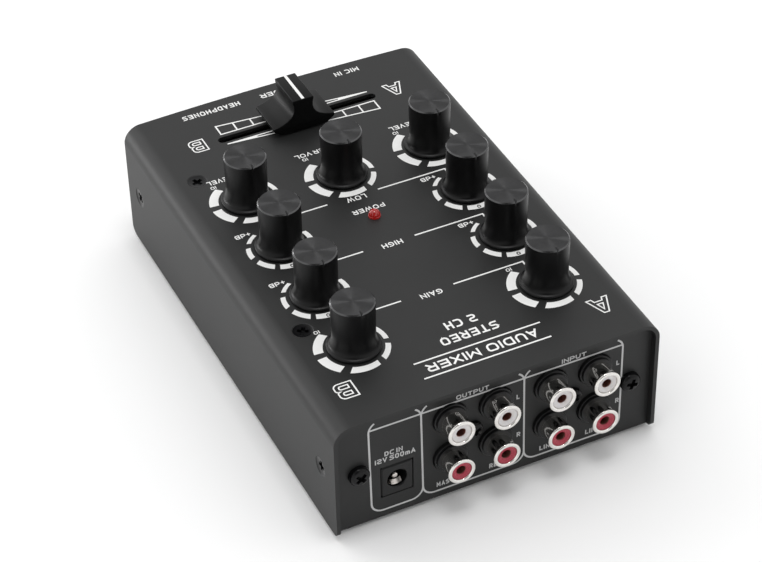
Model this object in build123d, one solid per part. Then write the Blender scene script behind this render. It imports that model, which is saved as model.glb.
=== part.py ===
"""Small two-channel audio mixer in a folded steel case.

Nine rotary controls and a crossfader on top, a DC inlet and eight phono sockets behind, two 6.35 mm jacks in front.
X runs across, +Y is the socket side, z = 0 is the plane the feet stand on.
"""

import os

from build123d import *

# Case
CASE_W = 100.0
CASE_L = 152.5
CASE_H = 39.3
COVER_T = 1.2
COVER_BEND = 5.4
FRONT_CORNER = 3.0
FRONT_BOW = 1.2
FRONT_BOW_X = 48.5
REAR_CORNER = 2.0
FOOT_H = 2.5
FOOT_R = 5.5
FOOT_ROUND = 1.2
FOOT_X = 38.0
FOOT_Y = 62.0
CASE_Z = 1.3
TOP_Z = CASE_Z + CASE_H
ROOF_Z = TOP_Z - COVER_T
INNER_X = CASE_W / 2 - COVER_T
TIP_OUT = 7.6
PANEL_RECESS = 2.3
SHEET_T = 1.0
PANEL_Y = CASE_L / 2 - PANEL_RECESS
WALL_Y = -PANEL_Y
PANEL_BOTTOM = CASE_Z
PANEL_TOP = ROOF_Z - 0.2
PANEL_CORNER = 4.4
# The overall length runs from the cover's bowed front edge to the phono tips; the origin is under its middle
CASE_Y = -(PANEL_Y + TIP_OUT - CASE_L / 2 - FRONT_BOW) / 2

# Corner brackets that carry the cover and the rear panel
BRACKET_Y = 58.0
BRACKET_TOP = 28.0
BRACKET_X = 38.4
BRACKET_FLANGE_Z = (10.0, 27.0)

# Screws: shank radius, head radius
M3 = 1.5
CSK_R = 3.1
SIDE_SCREW_Y = 66.7
SIDE_SCREW_Z = 20.6
SIDE_SCREW_IN = 4.5
TOP_SCREW_X = 39.8
TOP_SCREW_Y = (34.4, -41.7)
TOP_SCREW_IN = 7.2
PANEL_SCREW_X = 42.1
PANEL_SCREW_Z = 20.4
PANEL_SCREW_HEAD = (3.1, 2.3)
PANEL_SCREW_IN = 5.0
BLOCK_SCREW_R = 1.3
BLOCK_SCREW_HEAD = (2.8, 1.9)
BLOCK_SCREW_IN = 8.0
CROSS_W = 0.7
CROSS_L = 3.0
CROSS_DEEP = 1.0
PAN_ROUND = 0.45
OVERCUT = 1.0

# Controls
COLUMN_X = 30.0
ROW_Y = {"gain": 47.0, "high": 22.5, "low": -2.0, "level": -26.5}
MASTER_XY = (0.0, -24.9)
SHAFT_R = 3.0
SHAFT_GAP = 0.05
SHAFT_HOLE_R = 3.5
SHAFT_TOP = TOP_Z + 11.4
ROTOR_R = 4.0
ROTOR_H = 1.2
POT_BODY = (9.6, 11.0, 6.8)
POT_COLLAR = (3.45, 2.2)
POT_FLOOR = 2.0
KNOB_H = 16.2
KNOB_LIFT = 0.5
KNOB_FLANGE_R = 7.95
KNOB_FLANGE_H = 1.0
KNOB_SHOULDER = (7.5, 1.6)
KNOB_FLARE = (6.5, 2.95)
KNOB_WAIST = (6.2, 5.2)
KNOB_TOP_R = 6.3
KNOB_BEVEL = 0.35
NOTCH_W = 0.7
NOTCH_LONG = 1.6

# Crossfader
FADER_Y = -57.2
FADER_REST_X = 0.7
SLOT_L = 52.8
SLOT_W = 2.8
FADER_BODY = (60.0, 9.0, 8.0)
FADER_WALL = 1.2
FADER_MOUTH = (52.4, 1.6)
LEVER = (4.0, 1.2)
CARRIAGE = (8.0, 6.4, 5.4)
LEVER_TOP = TOP_Z + 8.0
CAP_LONG = 13.8
CAP_LIFT = 3.0
CAP_HALF_W = 10.1
CAP_RIDGE = 3.4
CAP_H = 11.8
CAP_FLANK = ((3.4, 11.0), (3.1, 8.8), (3.9, 6.4), (5.6, 4.9), (7.6, 4.0), (10.1, 3.4))

# Boards
BOARD_T = 1.6
BOARD_TOP = ROOF_Z - 10.0
BOARD_X = 44.0
FADER_MID = BOARD_TOP + FADER_BODY[2] / 2
BOARD_FRONT = -64.0
SPACER_R = 2.75
COLLAR_R = 2.0
BLOCK_DEEP = 10.0
SOCKET_BOARD_X = (-41.0, 42.0)
SOCKET_BOARD_Z = (7.0, 37.0)
BLOCK_BACK = PANEL_Y - SHEET_T - BLOCK_DEEP
BOARD_REAR = BLOCK_BACK - BOARD_T

# Power light
LIGHT_XY = (0.0, -2.6)
LIGHT_R = 1.5
LIGHT_FLANGE_R = 1.9
LIGHT_OUT = 0.9
LIGHT_FLANGE_Z = 36.4
LIGHT_FLANGE_H = 1.0

# Phono sockets
PHONO_PITCH = 14.0
BLOCK_XZ = {"output": (7.25, 22.65), "input": (-23.8, 22.15)}
BLOCK_SIZE = 27.2
BOSS = ((5.1, 1.0), (4.55, 1.8))
BOSS_HOLE_R = 5.3
SHELL_R = 4.15
SHELL_NECK_R = 3.9
SHELL_BORE = 3.6
SHELL_DEEP = 7.0
LIP_ROUND = 0.2
INSULATOR_IN = 0.45
FUNNEL_R = 2.6
FUNNEL_DEEP = 0.5
PIN_HOLE_R = 1.6
CONTACT_R = 2.0
CONTACT_LONG = 13.2

# DC inlet
DC_XZ = (30.45, 14.0)
DC_CUTOUT = (10.0, 11.2)
DC_BODY = (9.4, 10.7)
DC_PROUD = 0.2
DC_HOLE_R = 3.0
DC_HOLE_DEEP = 9.0
DC_PIN_R = 1.0
DC_PIN_ROUND = 0.6
DC_PIN_SETBACK = 1.15
DC_SPRING_T = 0.3
DC_SPRING_ARC = (45.0, 90.0)
DC_SPRING_SETBACK = 1.0
DC_SPRING_LONG = 2.3

# Front jacks: microphone, headphones
JACK_X = (-23.9, 22.2)
JACK_Z = 20.6
JACK_BORE_R = 3.2
JACK_BORE_L = 24.0
JACK_BUSH_R = 4.5
JACK_TIP = 2.1
JACK_BODY_W = 16.0
JACK_BODY_L = 23.0
JACK_BODY_BOTTOM = 14.1
JACK_NUT = (6.5, 1.9)

KNOBS = {
    "master": MASTER_XY,
    **{f"{row}_a": (-COLUMN_X, y) for row, y in ROW_Y.items()},
    **{f"{row}_b": (COLUMN_X, y) for row, y in ROW_Y.items()},
}
SOCKETS = {
    f"{block}_{side}{row}": (
        x + column * PHONO_PITCH / 2,
        z + level * PHONO_PITCH / 2,
    )
    for block, (x, z) in BLOCK_XZ.items()
    for side, column in (("b", 1), ("a", -1))
    for row, level in (("_left", 1), ("_right", -1))
}


def span(x0, x1, y0, y1, z0, z1):
    """A box between two corners."""
    middle = Pos((x0 + x1) / 2, (y0 + y1) / 2, (z0 + z1) / 2)
    return middle * Box(x1 - x0, y1 - y0, z1 - z0)


def along_z(x, y, z0, z1, radius, end_radius=None):
    """A post, or a cone when a second radius is given for the upper end."""
    body = Cone(radius, end_radius, z1 - z0) if end_radius else Cylinder(radius, z1 - z0)
    return Pos(x, y, (z0 + z1) / 2) * body


def along_y(x, z, y0, y1, radius, end_radius=None):
    """A bar from y0 to a larger y1."""
    return Pos(x, 0, z) * Rot(-90, 0, 0) * along_z(0, 0, y0, y1, radius, end_radius)


def along_x(y, z, x0, x1, radius, end_radius=None):
    """A bar from x0 to a larger x1."""
    return Pos(0, y, z) * Rot(0, 90, 0) * along_z(0, 0, x0, x1, radius, end_radius)


def cross(depth_from, depth_to):
    """The cross recess of a screw on the Z axis."""
    long, thin = CROSS_L / 2, CROSS_W / 2
    return span(-long, long, -thin, thin, depth_from, depth_to) + span(
        -thin, thin, -long, long, depth_from, depth_to
    )


def countersunk_screw(length):
    """A flat-headed M3 screw pointing down, its head's face at z = 0."""
    screw = along_z(0, 0, -COVER_T, 0, M3, CSK_R) + along_z(0, 0, -length, -COVER_T, M3)
    return screw - cross(-CROSS_DEEP, OVERCUT)


def pan_screw(head, shank_r, length):
    """A pan-headed screw pointing down, the seat of its head at z = 0."""
    head_r, head_h = head
    dome = along_z(0, 0, 0, head_h, head_r)
    dome = fillet(dome.edges().group_by(Axis.Z)[-1], head_h * PAN_ROUND)
    screw = dome + along_z(0, 0, -length, 0, shank_r)
    return screw - cross(head_h - CROSS_DEEP, head_h + OVERCUT)


def wall_profile(y_front, y_back, bottom):
    """A flat panel across the case, its top corners rounded to clear the cover's bends."""
    wall = span(-INNER_X, INNER_X, y_front, y_back, bottom, PANEL_TOP)
    corners = wall.edges().filter_by(Axis.Y).group_by(Axis.Z)[-1]
    return fillet(corners, PANEL_CORNER)


def folded_sheet(y_front, y_back):
    """A length of the cover's section: a top and two sides in one sheet."""
    outer = span(-CASE_W / 2, CASE_W / 2, y_front, y_back, CASE_Z, TOP_Z)
    outer = fillet(outer.edges().filter_by(Axis.Y).group_by(Axis.Z)[-1], COVER_BEND)
    inner = span(-INNER_X, INNER_X, -CASE_L, CASE_L, 0, ROOF_Z)
    inner = fillet(inner.edges().filter_by(Axis.Y).group_by(Axis.Z)[-1], COVER_BEND - COVER_T)
    return outer - inner


def front_bow():
    """The sliver by which the top's front edge bows out past the sides."""
    front = -CASE_L / 2
    edge = ThreePointArc((-FRONT_BOW_X, front), (0, front - FRONT_BOW), (FRONT_BOW_X, front))
    segment = extrude(make_face([edge.edge(), Line(edge @ 1, edge @ 0).edge()]), TOP_Z)
    return folded_sheet(front - FRONT_BOW, front) & segment


def top_cover():
    """The folded cover with every hole through it."""
    cover = folded_sheet(-CASE_L / 2, CASE_L / 2)
    for end, radius in ((0, FRONT_CORNER), (-1, REAR_CORNER)):
        lower = cover.edges().filter_by(Axis.X).group_by(Axis.Z)[0]
        cover = fillet(lower.group_by(Axis.Y)[end], radius)
    cover += front_bow()
    for x, y in KNOBS.values():
        cover -= along_z(x, y, ROOF_Z, TOP_Z, SHAFT_HOLE_R)
    cover -= Pos(0, FADER_Y, ROOF_Z) * extrude(SlotOverall(SLOT_L, SLOT_W), COVER_T)
    cover -= along_z(*LIGHT_XY, ROOF_Z, TOP_Z, LIGHT_R)
    for x, y in top_screw_places():
        cover -= along_z(x, y, ROOF_Z, TOP_Z, M3, CSK_R)
    for side in (-1, 1):
        for y in (-SIDE_SCREW_Y, SIDE_SCREW_Y):
            cover -= side_place(side, y) * along_z(0, 0, -COVER_T, 0, M3, CSK_R)
    return cover


def side_place(side, y):
    """Where a side screw's head face lies, the screw pointing into the case."""
    return Pos(side * CASE_W / 2, y, SIDE_SCREW_Z) * Rot(0, side * 90, 0)


def top_screw_places():
    return [(side * TOP_SCREW_X, y) for side in (-1, 1) for y in TOP_SCREW_Y]


def chassis():
    """The tray: base and front wall in one sheet, with the holes for the jacks."""
    tray = span(-INNER_X, INNER_X, WALL_Y, PANEL_Y - SHEET_T, FOOT_H, FOOT_H + SHEET_T)
    tray += wall_profile(WALL_Y, WALL_Y + SHEET_T, FOOT_H)
    for x in JACK_X:
        tray -= along_y(x, JACK_Z, WALL_Y, WALL_Y + SHEET_T, JACK_BUSH_R)
    return tray


def corner_brackets():
    """Four angles welded to the tray: the cover and the rear panel are screwed to them."""
    back = PANEL_Y - SHEET_T
    bracket = span(INNER_X - SHEET_T, INNER_X, BRACKET_Y, back, FOOT_H + SHEET_T, BRACKET_TOP)
    bracket += span(BRACKET_X, INNER_X, back - SHEET_T, back, *BRACKET_FLANGE_Z)
    bracket -= along_x(SIDE_SCREW_Y, SIDE_SCREW_Z, INNER_X - SHEET_T, INNER_X, M3)
    bracket -= along_y(PANEL_SCREW_X, PANEL_SCREW_Z, back - SHEET_T, back, M3)
    rear_pair = [bracket, mirror(bracket, about=Plane.YZ)]
    return rear_pair + [mirror(rear, about=Plane.XZ) for rear in rear_pair]


def rear_panel():
    """The printed panel with the inlet's window and the holes for the phono bosses."""
    back = PANEL_Y - SHEET_T
    through = (back - OVERCUT, PANEL_Y + OVERCUT)
    panel = wall_profile(back, PANEL_Y, PANEL_BOTTOM)
    dx, dz = DC_XZ
    w, h = DC_CUTOUT
    panel -= span(dx - w / 2, dx + w / 2, *through, dz - h / 2, dz + h / 2)
    for x, z in SOCKETS.values():
        panel -= along_y(x, z, *through, BOSS_HOLE_R)
    for side in (-1, 1):
        panel -= along_y(side * PANEL_SCREW_X, PANEL_SCREW_Z, *through, M3)
    for x, z in BLOCK_XZ.values():
        panel -= along_y(x, z, *through, BLOCK_SCREW_R)
    return panel


def rubber_feet():
    """Four stuck-on domed feet."""
    foot = along_z(0, 0, 0, FOOT_H, FOOT_R)
    foot = fillet(foot.edges().group_by(Axis.Z)[0], FOOT_ROUND)
    return [Pos(x * FOOT_X, y * FOOT_Y, 0) * foot for x in (-1, 1) for y in (-1, 1)]


def main_board():
    """The level circuit board under the cover; the spacers are swaged into its holes."""
    board = span(-BOARD_X, BOARD_X, BOARD_FRONT, BOARD_REAR, BOARD_TOP - BOARD_T, BOARD_TOP)
    for x, y in top_screw_places():
        board -= along_z(x, y, BOARD_TOP - BOARD_T, BOARD_TOP, COLLAR_R)
    return board


def board_spacers():
    """Threaded spacers from the board up to the cover, each with a collar through the board."""
    spacers = []
    for x, y in top_screw_places():
        spacer = along_z(x, y, BOARD_TOP, ROOF_Z, SPACER_R)
        spacer += along_z(x, y, BOARD_TOP - BOARD_T, BOARD_TOP, COLLAR_R)
        spacers.append(spacer - along_z(x, y, BOARD_TOP - BOARD_T, ROOF_Z, M3))
    return spacers


def socket_board():
    """The upright board behind the sockets, soldered to the main board's rear edge."""
    x0, x1 = SOCKET_BOARD_X
    return span(x0, x1, BOARD_REAR, BLOCK_BACK, *SOCKET_BOARD_Z)


def top_screws():
    return [Pos(x, y, TOP_Z) * countersunk_screw(TOP_SCREW_IN) for x, y in top_screw_places()]


def side_screws():
    screw = countersunk_screw(SIDE_SCREW_IN)
    return [side_place(side, y) * screw for side in (-1, 1) for y in (-SIDE_SCREW_Y, SIDE_SCREW_Y)]


def panel_screws():
    screw = Rot(-90, 0, 0) * pan_screw(PANEL_SCREW_HEAD, M3, PANEL_SCREW_IN)
    return [Pos(side * PANEL_SCREW_X, PANEL_Y, PANEL_SCREW_Z) * screw for side in (-1, 1)]


def block_screws():
    screw = Rot(-90, 0, 0) * pan_screw(BLOCK_SCREW_HEAD, BLOCK_SCREW_R, BLOCK_SCREW_IN)
    return [Pos(x, PANEL_Y, z) * screw for x, z in BLOCK_XZ.values()]


def phono_block(name):
    """A moulded block for four phono sockets, with a stepped boss round each one."""
    x, z = BLOCK_XZ[name]
    half = BLOCK_SIZE / 2
    face = PANEL_Y - SHEET_T
    block = span(x - half, x + half, BLOCK_BACK, face, z - half, z + half)
    places = [at for key, at in SOCKETS.items() if key.startswith(name)]
    for sx, sz in places:
        for radius, out in BOSS:
            block += along_y(sx, sz, face, PANEL_Y + out, radius)
        block -= along_y(sx, sz, PANEL_Y - SHELL_DEEP, PANEL_Y + TIP_OUT, SHELL_NECK_R)
        block -= along_y(sx, sz, BLOCK_BACK, PANEL_Y - SHELL_DEEP, CONTACT_R)
    return block - along_y(x, z, PANEL_Y - BLOCK_SCREW_IN, face, BLOCK_SCREW_R)


def phono_shell(x, z):
    """The plated barrel: a neck held in the block, a shoulder on the boss, and a rounded lip."""
    start = PANEL_Y - SHELL_DEEP
    shoulder = PANEL_Y + BOSS[-1][1]
    tip = PANEL_Y + TIP_OUT
    shell = along_y(x, z, start, shoulder, SHELL_NECK_R) + along_y(x, z, shoulder, tip, SHELL_R)
    shell -= along_y(x, z, start, tip, SHELL_BORE)
    return fillet(shell.edges().group_by(Axis.Y)[-1], LIP_ROUND)


def phono_insulator(x, z):
    """The coloured plug inside the barrel, with a funnel leading to the centre hole."""
    start = PANEL_Y - SHELL_DEEP
    face = PANEL_Y + TIP_OUT - INSULATOR_IN
    plug = along_y(x, z, start, face, SHELL_BORE)
    plug -= along_y(x, z, start, start + CONTACT_LONG, CONTACT_R)
    plug -= along_y(x, z, start + CONTACT_LONG, face, PIN_HOLE_R)
    return plug - along_y(x, z, face - FUNNEL_DEEP, face, PIN_HOLE_R, FUNNEL_R)


def phono_contacts():
    """The hollow centre contacts that grip a plug's pin, each running back through its block."""
    contacts = []
    start = PANEL_Y - SHELL_DEEP
    end = start + CONTACT_LONG
    for x, z in SOCKETS.values():
        contact = along_y(x, z, BLOCK_BACK, end, CONTACT_R)
        contacts.append(contact - along_y(x, z, start, end, PIN_HOLE_R))
    return contacts


def dc_parts():
    """The DC inlet: moulded body, centre pin, and the curved contact lining the hole's lower side."""
    x, z = DC_XZ
    w, h = DC_BODY
    face = PANEL_Y + DC_PROUD
    floor = face - DC_HOLE_DEEP
    hole = along_y(x, z, floor, face, DC_HOLE_R)
    lip = face - DC_SPRING_SETBACK
    lining = along_y(x, z, lip - DC_SPRING_LONG, lip, DC_HOLE_R + DC_SPRING_T)
    lining -= along_y(x, z, lip - DC_SPRING_LONG, lip, DC_HOLE_R)
    arc = CenterArc((0, 0), DC_HOLE_R * 2, *DC_SPRING_ARC)
    wedge = extrude(make_face([Line((0, 0), arc @ 0), arc, Line(arc @ 1, (0, 0))]), DC_HOLE_DEEP)
    wedge = Pos(x, floor, z) * Rot(-90, 0, 0) * wedge
    spring = lining & wedge
    pin = along_y(x, z, floor, face - DC_PIN_SETBACK, DC_PIN_R)
    pin = fillet(pin.edges().group_by(Axis.Y)[-1], DC_PIN_ROUND)
    body = span(x - w / 2, x + w / 2, BLOCK_BACK, face, z - h / 2, z + h / 2)
    body = body - hole - spring
    return body, pin, spring


def power_light():
    """A 3 mm lamp: flange below the cover, domed end above it."""
    x, y = LIGHT_XY
    lamp = along_z(x, y, LIGHT_FLANGE_Z, TOP_Z + LIGHT_OUT, LIGHT_R)
    lamp += Pos(x, y, TOP_Z + LIGHT_OUT) * Sphere(LIGHT_R)
    return lamp + along_z(x, y, LIGHT_FLANGE_Z, LIGHT_FLANGE_Z + LIGHT_FLANGE_H, LIGHT_FLANGE_R)


def light_spacer():
    """The tube that holds the lamp up at the cover."""
    return along_z(*LIGHT_XY, BOARD_TOP, LIGHT_FLANGE_Z, LIGHT_FLANGE_R)


def fader_body():
    """The crossfader's box with its hollow and the long mouth for the lever."""
    hollow = [side - 2 * FADER_WALL for side in FADER_BODY]
    body = Pos(0, FADER_Y, FADER_MID) * (Box(*FADER_BODY) - Box(*hollow))
    half_l, half_w = (side / 2 for side in FADER_MOUTH)
    return body - span(-half_l, half_l, FADER_Y - half_w, FADER_Y + half_w, FADER_MID, ROOF_Z)


def lever_blade(bottom):
    """The flat lever at rest, from a given height up into the cap."""
    half_x, half_y = (side / 2 for side in LEVER)
    x, y = FADER_REST_X, FADER_Y
    return span(x - half_x, x + half_x, y - half_y, y + half_y, bottom, LEVER_TOP)


def fader_lever():
    """The carriage and the flat lever that stands up through the slot."""
    return Pos(FADER_REST_X, FADER_Y, FADER_MID) * Box(*CARRIAGE) + lever_blade(FADER_MID)


def fader_cap():
    """The cap: flat ridge on top, concave flanks running out to a thin base."""
    right = Spline(*CAP_FLANK)
    left = Spline(*[(-x, z) for x, z in reversed(CAP_FLANK)])
    top = Polyline(left @ 1, (-CAP_RIDGE, CAP_H), (CAP_RIDGE, CAP_H), right @ 0)
    foot = Polyline(right @ 1, (CAP_HALF_W, CAP_LIFT), (-CAP_HALF_W, CAP_LIFT), left @ 0)
    outline = make_face([*right.edges(), *foot.edges(), *left.edges(), *top.edges()])
    cap = Rot(90, 0, 0) * extrude(outline, CAP_LONG)
    cap = Pos(FADER_REST_X, FADER_Y + CAP_LONG / 2, TOP_Z) * cap
    return cap - lever_blade(TOP_Z)


def pot_bodies():
    """The fixed halves of the nine rotary controls, each with a cavity that traps its rotor."""
    width, depth, height = POT_BODY
    collar_r, collar_h = POT_COLLAR
    pots = []
    for x, y in KNOBS.values():
        roof = BOARD_TOP + height
        floor = BOARD_TOP + POT_FLOOR
        pot = Pos(x, y, BOARD_TOP + height / 2) * Box(width, depth, height)
        pot += along_z(x, y, roof, roof + collar_h, collar_r)
        pot -= along_z(x, y, floor, floor + ROTOR_H + 2 * SHAFT_GAP, ROTOR_R + 2 * SHAFT_GAP)
        pots.append(pot - along_z(x, y, floor, roof + collar_h, SHAFT_R + SHAFT_GAP))
    return pots


def shaft(x, y):
    """A control's turning shaft, with the rotor disc that keeps it in its body."""
    foot = BOARD_TOP + POT_FLOOR + SHAFT_GAP
    return along_z(x, y, foot, SHAFT_TOP, SHAFT_R) + along_z(x, y, foot, foot + ROTOR_H, ROTOR_R)


def knob(x, y):
    """A turned knob: base flange, concave flare, straight grip, bevelled top with a pointer notch."""
    shoulder_z = KNOB_LIFT + KNOB_FLANGE_H
    base = Polyline(
        (0, KNOB_LIFT),
        (KNOB_FLANGE_R, KNOB_LIFT),
        (KNOB_FLANGE_R, shoulder_z),
        KNOB_SHOULDER,
    )
    flare = ThreePointArc(KNOB_SHOULDER, KNOB_FLARE, KNOB_WAIST)
    grip = Polyline(
        KNOB_WAIST,
        (KNOB_TOP_R, KNOB_H - KNOB_BEVEL),
        (KNOB_TOP_R - KNOB_BEVEL, KNOB_H),
        (0, KNOB_H),
        (0, KNOB_LIFT),
    )
    half = make_face([*base.edges(), flare.edge(), *grip.edges()])
    body = revolve(Rot(90, 0, 0) * half, Axis.Z)
    body -= Pos(0, KNOB_TOP_R, KNOB_H) * Rot(0, 45, 0) * Box(NOTCH_W, 2 * NOTCH_LONG, NOTCH_W)
    body -= Pos(0, KNOB_TOP_R, KNOB_H) * Rot(0, 0, 45) * Box(NOTCH_W, NOTCH_W, 2 * NOTCH_LONG)
    socket = along_z(0, 0, 0, SHAFT_TOP - TOP_Z, SHAFT_R)
    return Pos(x, y, TOP_Z) * (body - socket)


def jack(x):
    """A 6.35 mm jack: moulded body hung under the main board, bush out through the front wall."""
    inside = WALL_Y + SHEET_T
    tip = WALL_Y - JACK_TIP
    half = JACK_BODY_W / 2
    body = span(x - half, x + half, inside, inside + JACK_BODY_L, JACK_BODY_BOTTOM, BOARD_TOP - BOARD_T)
    body += along_y(x, JACK_Z, tip, inside, JACK_BUSH_R)
    return body - along_y(x, JACK_Z, tip, tip + JACK_BORE_L, JACK_BORE_R)


def jack_nuts():
    """Six-sided nuts that clamp the jacks to the front wall."""
    nut_r, nut_h = JACK_NUT
    nuts = []
    for x in JACK_X:
        nut = extrude(RegularPolygon(nut_r, 6), nut_h) - along_z(0, 0, 0, nut_h, JACK_BUSH_R)
        nuts.append(Pos(x, WALL_Y, JACK_Z) * Rot(90, 0, 0) * nut)
    return nuts


def save(name, shape):
    """Write one node, moved so that the origin is under the middle of the whole."""
    solids = shape if isinstance(shape, list) else [shape]
    moved = [Pos(0, CASE_Y, 0) * solid for solid in solids]
    export_step(moved[0] if len(moved) == 1 else Compound(children=moved), f"parts/{name}.step")


def main():
    os.makedirs("parts", exist_ok=True)
    nodes = {
        "top_cover": top_cover(),
        "chassis": chassis(),
        "corner_brackets": corner_brackets(),
        "rear_panel": rear_panel(),
        "rubber_feet": rubber_feet(),
        "main_board": main_board(),
        "socket_board": socket_board(),
        "board_spacers": board_spacers(),
        "top_screws": top_screws(),
        "side_screws": side_screws(),
        "panel_screws": panel_screws(),
        "block_screws": block_screws(),
        "output_block": phono_block("output"),
        "input_block": phono_block("input"),
        "phono_contacts": phono_contacts(),
        "power_light": power_light(),
        "light_spacer": light_spacer(),
        "fader_body": fader_body(),
        "fader_lever": fader_lever(),
        "fader_cap": fader_cap(),
        "pot_bodies": pot_bodies(),
        "jacks": [jack(x) for x in JACK_X],
        "jack_nuts": jack_nuts(),
    }
    nodes["dc_body"], nodes["dc_pin"], nodes["dc_spring"] = dc_parts()
    for name, (x, z) in SOCKETS.items():
        nodes[f"shell_{name}"] = phono_shell(x, z)
        nodes[f"insulator_{name}"] = phono_insulator(x, z)
    for name, (x, y) in KNOBS.items():
        nodes[f"shaft_{name}"] = shaft(x, y)
        nodes[f"knob_{name}"] = knob(x, y)
    for name, shape in nodes.items():
        save(name, shape)
    print(len(nodes), "nodes")


main()
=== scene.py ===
"""Looks for a small two-channel audio mixing console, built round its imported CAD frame.

Sizes are in millimetres, in the case's own frame: x across, y from the middle of the case towards the
sockets, z up from the plane the feet stand on. MM turns them into the metres that Blender and the frame use.
"""

import itertools
import math

import bmesh
import bpy
from mathutils import Matrix, Vector


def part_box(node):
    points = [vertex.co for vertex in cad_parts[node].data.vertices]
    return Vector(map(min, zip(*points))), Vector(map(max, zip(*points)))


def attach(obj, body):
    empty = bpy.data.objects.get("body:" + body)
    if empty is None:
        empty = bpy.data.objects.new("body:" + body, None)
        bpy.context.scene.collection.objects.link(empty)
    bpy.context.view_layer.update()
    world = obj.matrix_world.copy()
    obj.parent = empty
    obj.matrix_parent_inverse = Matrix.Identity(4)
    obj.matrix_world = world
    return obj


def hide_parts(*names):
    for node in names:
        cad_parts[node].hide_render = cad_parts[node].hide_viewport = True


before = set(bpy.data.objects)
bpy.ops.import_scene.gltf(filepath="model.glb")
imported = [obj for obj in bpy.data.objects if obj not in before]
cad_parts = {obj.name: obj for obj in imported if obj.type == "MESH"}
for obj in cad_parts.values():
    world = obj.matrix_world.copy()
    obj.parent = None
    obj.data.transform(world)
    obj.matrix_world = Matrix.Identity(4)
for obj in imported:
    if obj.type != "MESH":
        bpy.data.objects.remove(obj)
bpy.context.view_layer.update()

MM = 0.001


# ---------------------------------------------------------------- places taken from the frame


def corners(node):
    """A node's lowest and highest corner, in millimetres."""
    low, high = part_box(node)
    return low / MM, high / MM


def middle(node):
    low, high = corners(node)
    return (low + high) / 2


COVER_HIGH = corners("top_cover")[1]
CASE_HALF_L = 76.25
CASE_Y = COVER_HIGH.y - CASE_HALF_L
TOP_Z = COVER_HIGH.z
PANEL_Y = corners("rear_panel")[1].y
KNOBS = ["master"] + [f"{row}_{side}" for side in "ab" for row in ("gain", "high", "low", "level")]
BLOCKS = ("output", "input")
SOCKETS = [f"{block}_{side}_{row}" for block in BLOCKS for side in "ba" for row in ("left", "right")]

# ---------------------------------------------------------------- camera

VIEW_AZIMUTH = math.radians(155.18)
VIEW_HEIGHT = math.radians(39.67)
VIEW_ROLL = math.radians(-1.425)
VIEW_POINT = Vector((242.0, 524.05 + CASE_Y, 496.5))
SENSOR = 36.0
LENS = 119.3
NEAREST = 0.01


def add_camera():
    back = Vector(
        (
            math.sin(VIEW_AZIMUTH) * math.cos(VIEW_HEIGHT),
            -math.cos(VIEW_AZIMUTH) * math.cos(VIEW_HEIGHT),
            math.sin(VIEW_HEIGHT),
        )
    )
    data = bpy.data.cameras.new("camera")
    data.sensor_width = SENSOR
    data.lens = LENS
    data.clip_start = NEAREST
    camera = bpy.data.objects.new("camera", data)
    turn = back.to_track_quat("Z", "Y").to_matrix().to_4x4() @ Matrix.Rotation(VIEW_ROLL, 4, "Z")
    camera.matrix_world = Matrix.Translation(VIEW_POINT * MM) @ turn
    bpy.context.scene.collection.objects.link(camera)
    bpy.context.scene.camera = camera


# ---------------------------------------------------------------- materials

RAMP_START = 0.3
RAMP_END = 0.7
DRIFT = 40  # how many grains across a slow drift of colour is
MASK_DARK = (0.01, 0.07, 0.03)
MASK_LIGHT = (0.03, 0.14, 0.06)
TRACK_LONG = 6.0
TRACK_GAP = 0.03
LENS_DARK = (0.3, 0.002, 0.003)
LENS_LIGHT = (0.46, 0.008, 0.008)
GLOW = (1.0, 0.04, 0.02, 1)
GLOW_LEVEL = 0.07


class Shader:
    """A material under construction: a Principled shader and short ways to add nodes to it."""

    def __init__(self, name, **sockets):
        self.material = bpy.data.materials.new(name)
        self.material.use_nodes = True
        self.tree = self.material.node_tree
        self.main = self.tree.nodes["Principled BSDF"]
        for key, value in sockets.items():
            self.main.inputs[key.replace("_", " ")].default_value = value

    def node(self, kind, settings=None, **inputs):
        node = self.tree.nodes.new(kind)
        for key, value in (settings or {}).items():
            setattr(node, key, value)
        for key, value in inputs.items():
            self.link(value, node.inputs[key.replace("_", " ")])
        return node

    def link(self, value, socket):
        if isinstance(value, bpy.types.NodeSocket):
            self.tree.links.new(value, socket)
        else:
            socket.default_value = value

    def place(self):
        return self.node("ShaderNodeTexCoord").outputs["Object"]

    def noise(self, size, detail=3.0):
        """Noise whose blotches are about this many millimetres across."""
        return self.node("ShaderNodeTexNoise", Vector=self.place(), Scale=1 / (size * MM), Detail=detail)

    def spread(self, value, low, high):
        """A 0 to 1 value turned into a range."""
        ranged = self.node("ShaderNodeMapRange", Value=value, To_Min=low, To_Max=high)
        return ranged.outputs["Result"]

    def colour_between(self, value, dark, light):
        ramp = self.node("ShaderNodeValToRGB", Fac=value)
        ramp.color_ramp.elements[0].position = RAMP_START
        ramp.color_ramp.elements[1].position = RAMP_END
        ramp.color_ramp.elements[0].color = (*dark, 1)
        ramp.color_ramp.elements[1].color = (*light, 1)
        self.link(ramp.outputs["Color"], self.main.inputs["Base Color"])

    def rough_between(self, value, low, high):
        self.link(self.spread(value, low, high), self.main.inputs["Roughness"])

    def bump(self, value, height, strength=1.0):
        """Relief of this many millimetres."""
        node = self.node("ShaderNodeBump", Height=value, Distance=height * MM, Strength=strength)
        self.link(node.outputs["Normal"], self.main.inputs["Normal"])


def shade(colour, change):
    return tuple(min(1.0, channel * change) for channel in colour)


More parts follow.
